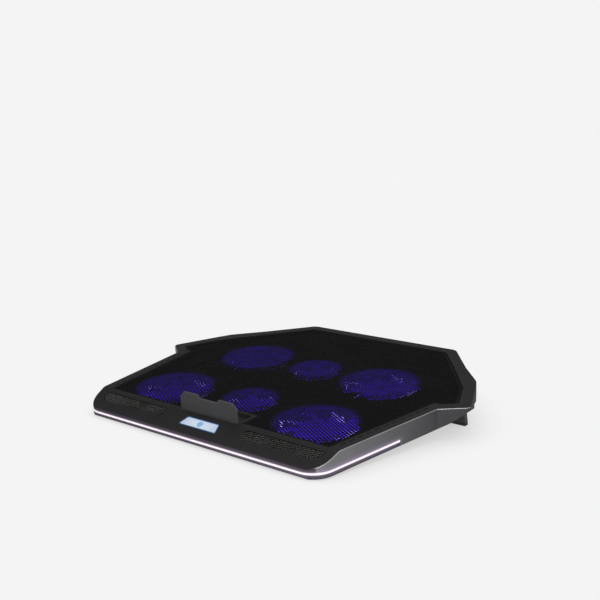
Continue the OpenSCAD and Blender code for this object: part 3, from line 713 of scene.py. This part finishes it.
def insideOf(points, polygon):
    # even-odd test of many points against one closed outline
    x, y = points[:, 0], points[:, 1]
    found = np.zeros(len(points), bool)
    before = polygon[-1]
    for here in polygon:
        crosses = (here[1] > y) != (before[1] > y)
        with np.errstate(divide="ignore", invalid="ignore"):
            at = (before[0] - here[0]) * (y - here[1]) / (before[1] - here[1]) + here[0]
        found ^= crosses & (x < at)
        before = here
    return found


def shrunkLoop(bm, distance):
    # the outline's points once it is drawn in, and the face inside it
    face = max(bm.faces, key=lambda f: f.calc_area())
    insetFaces(bm, [face], distance)
    return np.array([tuple(v.co)[:2] for v in face.verts]), face


def holeField(low, high, pitch, hole):
    # one hexagon with a hexagon hole, doubled up into a field of them
    bm = bmesh.new()
    bmesh.ops.create_circle(bm, cap_ends=True, segments=6, radius=pitch / math.sqrt(3))
    insetFaces(bm, bm.faces[:], (pitch - hole) / 2)
    middle = [f for f in bm.faces if len(f.verts) == 6]
    bmesh.ops.delete(bm, geom=middle, context="FACES")
    across = pitch * math.cos(math.radians(30))
    bmesh.ops.translate(bm, vec=(low[0], low[1], 0), verts=bm.verts[:])
    shifts = [(across, pitch / 2)]
    step, width = 2 * across, high[0] - low[0]
    while step < width * 2:
        shifts.append((step, 0))
        step *= 2
        if step > width:
            break
    step, tall = pitch, high[1] - low[1]
    while True:
        shifts.append((0, step))
        step *= 2
        if step > tall:
            break
    for dx, dy in shifts:
        copied = bmesh.ops.duplicate(bm, geom=bm.faces[:])
        moved = [g for g in copied["geom"] if isinstance(g, bmesh.types.BMVert)]
        bmesh.ops.translate(bm, vec=(dx, dy, 0), verts=moved)
        middles = np.array([tuple(f.calc_center_median())[:2] for f in bm.faces])
        far = (middles[:, 0] > high[0] + pitch) | (middles[:, 1] > high[1] + pitch)
        bmesh.ops.delete(bm, geom=[f for f, out in zip(bm.faces[:], far) if out], context="FACES")
    return bm


def thicken(bm, depth):
    # gives a flat sheet its thickness downwards and closes its sides
    made = bmesh.ops.extrude_face_region(bm, geom=bm.faces[:], use_keep_orig=True)
    lower = [g for g in made["geom"] if isinstance(g, bmesh.types.BMVert)]
    bmesh.ops.translate(bm, vec=(0, 0, -depth), verts=lower)
    bmesh.ops.recalc_face_normals(bm, faces=bm.faces[:])


def perforated(name, node, local, size, one, body, halves=1):
    rim, height = flatOutline(node, local.inverted())
    keepLoop = shrunkLoop(rim, size["keep"])[0]
    middle = shrunkLoop(rim, size["rim"] - size["keep"])[1]
    bmesh.ops.delete(rim, geom=[middle], context="FACES")
    thicken(rim, size["rimThick"])
    rim.transform(local)
    weigh(makePiece(name + "Rim", rim, [one], body, [node]))
    low, high = keepLoop.min(0), keepLoop.max(0)
    cuts = np.linspace(low[0], high[0], halves + 1)
    field = holeField(low, high, size["pitch"], size["hole"])
    for part in range(halves):
        bm = field.copy()
        middles = np.array([tuple(f.calc_center_median())[:2] for f in bm.faces])
        wanted = insideOf(middles, keepLoop)
        if halves > 1:
            wanted &= (middles[:, 0] >= cuts[part]) & (middles[:, 0] < cuts[part + 1])
        bmesh.ops.delete(bm, geom=[f for f, ok in zip(bm.faces[:], wanted) if not ok], context="FACES")
        bmesh.ops.remove_doubles(bm, verts=bm.verts[:], dist=1e-6)
        thicken(bm, size["thick"])
        bm.normal_update()
        # the grille's hole walls take the pale finish, a painted highlight
        for face in bm.faces:
            face.material_index = int(size is grille and abs(face.normal.z) < 0.5)
        bm.transform(local @ Matrix.Translation((0, 0, height - sheetSink)))
        made = makePiece(f"{name}{part + 1}", bm, [one, "paintedHoleHighlight"] if size is grille else [one],
                         body)
        print(name, part + 1, "faces", len(made.data.polygons))
    field.free()


perforated("deckMesh", "mesh_panel", onDesk, deck, "meshBlack", "pad", 2)
for side in ("left", "right"):
    perforated(side + "Grille", "grille_" + side, onBand, grille, "grilleBlack", "pad")


# ---- light strip, panel and button ----

def buildStrip():
    # only the outer face lets the light out; the back of the guide is coated
    bm = nodeCopy("light_strip")
    roundEdges(bm, 0.5 * mm)
    bm.normal_update()
    for face in bm.faces:
        n, p = padNormal(face), offDesk @ face.calc_center_median()
        aside = abs(p.x) >= glow["cornerFrom"] and n.x * p.x > 0 and abs(n.x) > 0.2
        face.material_index = int(not (aside or n.y < -0.2 or abs(n.z) > 0.3))
    return weigh(makePiece("lightStrip", bm, ["stripGlow", "filmWhite"], "pad",
                           ["light_strip"]))


buildStrip()
buildFromNode("panelWindow", "panel_lens", "panelGlow", "pad", width=0.18 * mm)
buildFromNode("modeButton", "mode_button", "buttonGlow", "button", width=0.35 * mm,
              segments=3)

bezel = dict(width=51.5 * mm, taper=8 * mm, near=13 * mm, depth=11 * mm, out=1.1 * mm, proud=0.22 * mm)


def buildBezel():
    # a thin tinted frame laid round the lit window
    bm = bmesh.new()
    bmesh.ops.create_grid(bm, x_segments=1, y_segments=1, size=0.5)
    for v in bm.verts:
        wide = bezel["width"] - (bezel["taper"] if v.co.y > 0 else 0) + 2.4 * bezel["out"]
        v.co.x *= wide
        v.co.y = bezel["near"] + (v.co.y + 0.5) * (bezel["depth"] + 2 * bezel["out"]) - bezel["out"]
    bmesh.ops.bevel(bm, geom=bm.verts[:], offset=2.2 * mm, offset_type="OFFSET", segments=4,
                    profile=0.5, affect="VERTICES", clamp_overlap=False, material=-1)
    insetFaces(bm, bm.faces[:], bezel["out"])
    inner = max(bm.faces, key=lambda f: len(f.verts))
    bmesh.ops.delete(bm, geom=[inner], context="FACES")
    bmesh.ops.translate(bm, vec=(0, 0, bezel["proud"]), verts=bm.verts[:])
    thicken(bm, 0.5 * mm)
    bm.transform(onBand)
    return weigh(makePiece("panelBezel", bm, ["bezelBlue"], "pad"))


buildBezel()
print("front lights built")


# ---- stopper, legs and feet ----

buildFromNode("stopperFlap", "stopper", "stopperGrey", "stopper_flap", width=0.5 * mm)
leg = dict(edge=0.7 * mm, frame=4 * mm, sink=1.2 * mm)


def buildLeg(side):
    # the flap's broad faces are sunk inside a raised frame
    bm = nodeCopy("leg_" + side)
    bm.normal_update()
    broad = sorted((f for f in bm.faces if abs(f.normal.y) > 0.8), key=lambda f: -f.calc_area())[:2]
    for face in broad:
        insetFaces(bm, [face], leg["frame"])
        insetFaces(bm, [face], leg["sink"] * 0.4, -leg["sink"])
    roundEdges(bm, leg["edge"])
    return weigh(makePiece(side + "LegFlap", bm, ["legGrey"], side + "_leg",
                           ["leg_" + side]))


for side in ("left", "right"):
    buildLeg(side)
    buildFromNode(side + "LegPad", "leg_foot_" + side, "footRubber", side + "_leg",
                  width=0.6 * mm)
buildFromNode("frontRollers", "front_feet", "footRubber", "pad", width=0.5 * mm)
buildFromNode("rearPads", "rear_feet", "footRubber", "pad", width=0.2 * mm)
print("stopper, legs and feet built")


# ---- fans ----

# large and small: the hub's radius, the whole radius and the number of blades
fan = dict(floor=2.2 * mm, bladeThick=1.1 * mm, tipGap=4.6 * mm, large=(19 * mm, 50 * mm, 9),
           small=(14 * mm, 35 * mm, 7))
# a blade at its root, and what its chord gains and its pitch loses by the tip
blade = dict(chord=13 * mm, gains=9 * mm, pitch=40, loses=17, camber=5.5 * mm, sweep=0.30,
             middle=7.2 * mm)
# the rim lamps' light painted on a rotor: where they are, how wide their spots are, and the levels
rimLight = dict(inset=3.5 * mm, spread=0.30, hubShare=0.45, even=0.62, spots=0.75)
# the hub's cup in millimetres
hubCup = dict(top=12.4, foot=3.1, wall=1.3, roof=1.8)


def bladeSheet(hub, tip):
    bm = bmesh.new()
    bmesh.ops.create_grid(bm, x_segments=7, y_segments=4, size=0.5)
    for v in bm.verts:
        out, along = v.co.x + 0.5, v.co.y
        radius = hub + (tip - hub) * out
        chord = blade["chord"] + blade["gains"] * out
        pitchAngle = math.radians(blade["pitch"] - blade["loses"] * out)
        camber = (0.25 - along * along) * blade["camber"] * (0.6 + 0.4 * out)
        arc = chord * along * math.cos(pitchAngle) / radius + blade["sweep"] * out * out
        v.co = Vector((radius * math.cos(arc), radius * math.sin(arc),
                       blade["middle"] + chord * along * math.sin(pitchAngle) + camber))
    return bm


def buildRotor(number):
    low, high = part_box(f"rotor_{number}")
    middle = offDesk @ ((low + high) / 2)
    hub, outer, blades = fan["large"] if number <= 4 else fan["small"]
    tip = outer - fan["tipGap"]
    bm = bladeSheet(hub - 0.6 * mm, tip)
    bmesh.ops.solidify(bm, geom=bm.faces[:], thickness=fan["bladeThick"])
    bmesh.ops.spin(bm, geom=bm.verts[:] + bm.edges[:] + bm.faces[:], cent=(0, 0, 0), axis=(0, 0, 1),
                   angle=2 * math.pi * (blades - 1) / blades, steps=blades - 1, use_duplicate=True)
    # the hub is a cup, turned from one profile
    cup = bmesh.new()
    out, top, foot = hub / mm, hubCup["top"], hubCup["foot"]
    bore, under = out - hubCup["wall"], top - hubCup["roof"]
    profile = [(0, top - 0.4), (out * 0.55, top - 0.4), (out * 0.6, top - 0.05), (out - 1.4, top),
               (out - 0.4, top - 0.4), (out, top - 1.2), (out, foot), (bore, foot), (bore, under),
               (0, under)]
    line = [cup.verts.new((x * mm, 0, z * mm)) for x, z in profile]
    for a, b in zip(line, line[1:]):
        cup.edges.new((a, b))
    bmesh.ops.spin(cup, geom=cup.verts[:] + cup.edges[:], cent=(0, 0, 0), axis=(0, 0, 1),
                   angle=2 * math.pi, steps=48, use_merge=True)
    bmesh.ops.remove_doubles(cup, verts=cup.verts[:], dist=1e-6)
    bmesh.ops.recalc_face_normals(cup, faces=cup.faces[:])
    holder = bpy.data.meshes.new("cup")
    cup.to_mesh(holder)
    cup.free()
    bm.from_mesh(holder)
    bpy.data.meshes.remove(holder)
    bmesh.ops.recalc_face_normals(bm, faces=bm.faces[:])
    # how much of the rim lamps' light is painted at each point
    lit = bm.verts.layers.float.new("lit")
    for v in bm.verts:
        nearest = min((Vector((math.cos(a), math.sin(a), 0)) * (outer - rimLight["inset"])
                       - Vector((v.co.x, v.co.y, 0))).length
                      for a in (0, math.pi / 2, math.pi, 1.5 * math.pi))
        spot = math.exp(-(nearest / (rimLight["spread"] * outer)) ** 2)
        level = rimLight["hubShare"] + (1 - rimLight["hubShare"]) * min(1, v.co.xy.length / outer)
        v[lit] = min(1, rimLight["even"] * level + rimLight["spots"] * spot)
    bm.transform(onDesk @ Matrix.Translation((middle.x, middle.y, fan["floor"])))
    return makePiece(f"rotor{number}", bm, ["rotorViolet"], f"fan_{number}_rotor",
                     [f"rotor_{number}"], smoothAngle=40)


for number in range(1, 7):
    buildRotor(number)
    paint(f"fan_frame_{number}", "fanBlack")
paint("fan_leds", "lampViolet")
paint("fan_bearings", "bushBronze")
paint("fan_stators", "coilCopper")
print("fans built")


# ---- what is held inside ----

for node, one in {"strip_board": "filmWhite", "tact_switch": "switchBlack", "control_board": "boardGreen",
                  "stopper_pin": "pinSteel", "leg_pins": "pinSteel", "usb_board": "boardGreen",
                  "usb_shells": "socketSteel", "usb_tongues": "tongueWhite", "wiring": "wireGrey"}.items():
    paint(node, one)


screwSize = dict(head=2.6 * mm, tall=1.4 * mm, shank=1.2 * mm, cross=1.5 * mm, slot=0.42, arm=0.62,
                 recess=0.8 * mm, round=0.45 * mm)


def screwShape(length):
    # a pan head with a cross recess, and a plain shank; the head's top faces down
    bm = bmesh.new()
    bmesh.ops.create_circle(bm, cap_ends=True, segments=16, radius=screwSize["head"])
    top = bm.faces[:]
    insetFaces(bm, top, screwSize["head"] - screwSize["cross"])
    for k, v in enumerate(top[0].verts):
        if k % 4 != 0:
            v.co *= screwSize["slot"] if k % 4 == 2 else screwSize["arm"]
    sunk = bmesh.ops.extrude_face_region(bm, geom=top)
    bmesh.ops.delete(bm, geom=top, context="FACES_ONLY")
    floor = [g for g in sunk["geom"] if isinstance(g, bmesh.types.BMVert)]
    bmesh.ops.translate(bm, vec=(0, 0, screwSize["recess"]), verts=floor)
    bmesh.ops.scale(bm, vec=(0.6, 0.6, 1), verts=floor)
    outer = [e for e in bm.edges if e.is_boundary]
    for height, radius in ((screwSize["tall"], screwSize["head"]), (screwSize["tall"], screwSize["shank"]),
                           (length, screwSize["shank"]), (length, 0.3 * mm)):
        grown = bmesh.ops.extrude_edge_only(bm, edges=outer)
        ring = [g for g in grown["geom"] if isinstance(g, bmesh.types.BMVert)]
        outer = [g for g in grown["geom"] if isinstance(g, bmesh.types.BMEdge)]
        for v in ring:
            v.co = Vector((*(v.co.xy.normalized() * radius), height))
    bmesh.ops.contextual_create(bm, geom=outer)
    rim = [e for e in bm.edges if all(abs(v.co.xy.length - screwSize["head"]) < 1e-6
                                      and v.co.z < 1e-6 for v in e.verts)]
    bmesh.ops.bevel(bm, geom=rim, offset=screwSize["round"], offset_type="OFFSET", segments=3, profile=0.5,
                    affect="EDGES", clamp_overlap=False, material=-1)
    bmesh.ops.recalc_face_normals(bm, faces=bm.faces[:])
    return bm


def screwSpots(node):
    # the middle of each loose part of the node, with its lower and upper end
    bm = bmesh.new()
    bm.from_mesh(nodes[node].data)
    bmesh.ops.remove_doubles(bm, verts=bm.verts[:], dist=1e-6)
    left, spots = set(bm.verts), []
    while left:
        island, waiting = set(), [left.pop()]
        while waiting:
            v = waiting.pop()
            island.add(v)
            for e in v.link_edges:
                other = e.other_vert(v)
                if other in left:
                    left.discard(other)
                    waiting.append(other)
        points = [offDesk @ v.co for v in island]
        low = [min(p[k] for p in points) for k in range(3)]
        high = [max(p[k] for p in points) for k in range(3)]
        spots.append(((low[0] + high[0]) / 2, (low[1] + high[1]) / 2, low[2], high[2]))
    bm.free()
    return sorted(spots)


def buildScrews(name, node, downwards):
    whole = bmesh.new()
    for x, y, low, high in screwSpots(node):
        one = screwShape(high - low)
        one.transform(Matrix.Rotation(x * 90 + y * 40, 4, "Z"))
        if downwards:
            one.transform(Matrix.Translation((x, y, low)))
        else:
            one.transform(Matrix.Translation((x, y, high)) @ Matrix.Rotation(math.pi, 4, "X"))
        held = bpy.data.meshes.new("screw")
        one.to_mesh(held)
        one.free()
        whole.from_mesh(held)
        bpy.data.meshes.remove(held)
    whole.transform(onDesk)
    return weigh(makePiece(name, whole, ["screwBlack"], "pad", [node]))


buildScrews("coverScrews", "cover_screws", True)
buildScrews("fanScrews", "fan_screws", False)
print("screws built")


# ---- floor and light ----

# sky lights the scene, seen is the floor and backdrop as the camera sees them, shade is the darkest painted
# contact shadow
room = dict(sky=0.42, seen=0.905, shade=0.55)


def buildRoom():
    bm = bmesh.new()
    bmesh.ops.create_grid(bm, x_segments=1, y_segments=1, size=8)
    mesh = bpy.data.meshes.new("paleFloor")
    bm.to_mesh(mesh)
    bm.free()
    floor = bpy.data.objects.new("paleFloor", mesh)
    scene.collection.objects.link(floor)
    tree, shader = startFinish("paleFloor")
    # the floor reads as one even sheet, with a soft contact shadow painted under the pad from ambient
    # occlusion
    contact = put(tree, "ShaderNodeAmbientOcclusion", (-600, 0), samples=8, Distance=0.09)
    cloud = put(tree, "ShaderNodeTexNoise", (-600, -250), Scale=2.0, Detail=3.0)
    shade = ramp(tree, contact.outputs["AO"], 0.0, 0.85, (-400, 0), room["shade"], room["seen"])
    paperAndShadow = sums(tree, "MULTIPLY", (-200, 0), shade,
                 ramp(tree, cloud.outputs["Fac"], 0, 1, (-400, -250), 0.995, 1.005))
    plain = put(tree, "ShaderNodeEmission", (0, -200))
    tree.links.new(paperAndShadow, plain.inputs["Color"])
    shader.inputs["Base Color"].default_value = (0.85, 0.85, 0.85, 1)
    shader.inputs["Roughness"].default_value = 0.9
    shader.inputs["Specular IOR Level"].default_value = 0.1
    path = put(tree, "ShaderNodeLightPath", (300, 300))
    either = put(tree, "ShaderNodeMixShader", (700, 200))
    tree.links.new(path.outputs["Is Camera Ray"], either.inputs[0])
    tree.links.new(shader.outputs[0], either.inputs[1])
    tree.links.new(plain.outputs[0], either.inputs[2])
    tree.links.new(either.outputs[0], tree.nodes["Material Output"].inputs["Surface"])
    mesh.materials.append(finish["paleFloor"])

    world = bpy.data.worlds.new("softStudio")
    world.use_nodes = True
    scene.world = world
    tree = world.node_tree
    back = tree.nodes["Background"]
    path = put(tree, "ShaderNodeLightPath", (-600, 0))
    shade = mixColour(tree, path.outputs["Is Camera Ray"], (room["sky"], room["sky"], room["sky"] * 1.03),
                      (room["seen"], room["seen"], room["seen"]), (-200, 0))
    tree.links.new(shade, back.inputs["Color"])
    back.inputs["Strength"].default_value = 1.0


def softBox(name, place, target, size, power):
    lamp = bpy.data.lights.new(name, "AREA")
    lamp.shape = "RECTANGLE"
    lamp.size, lamp.size_y = size
    lamp.energy = power
    made = bpy.data.objects.new(name, lamp)
    scene.collection.objects.link(made)
    made.location = place
    made.rotation_euler = (Vector(target) - Vector(place)).to_track_quat("-Z", "Y").to_euler()


buildRoom()
softBox("sideBox", (1.05, -0.85, 0.38), (0.15, -0.12, 0), (0.6, 0.4), 15)
softBox("topBox", (-0.3, 0.1, 1.8), (0, 0, 0), (1.4, 1.4), 6)
scene.view_settings.view_transform = "Standard"
print("room lit")
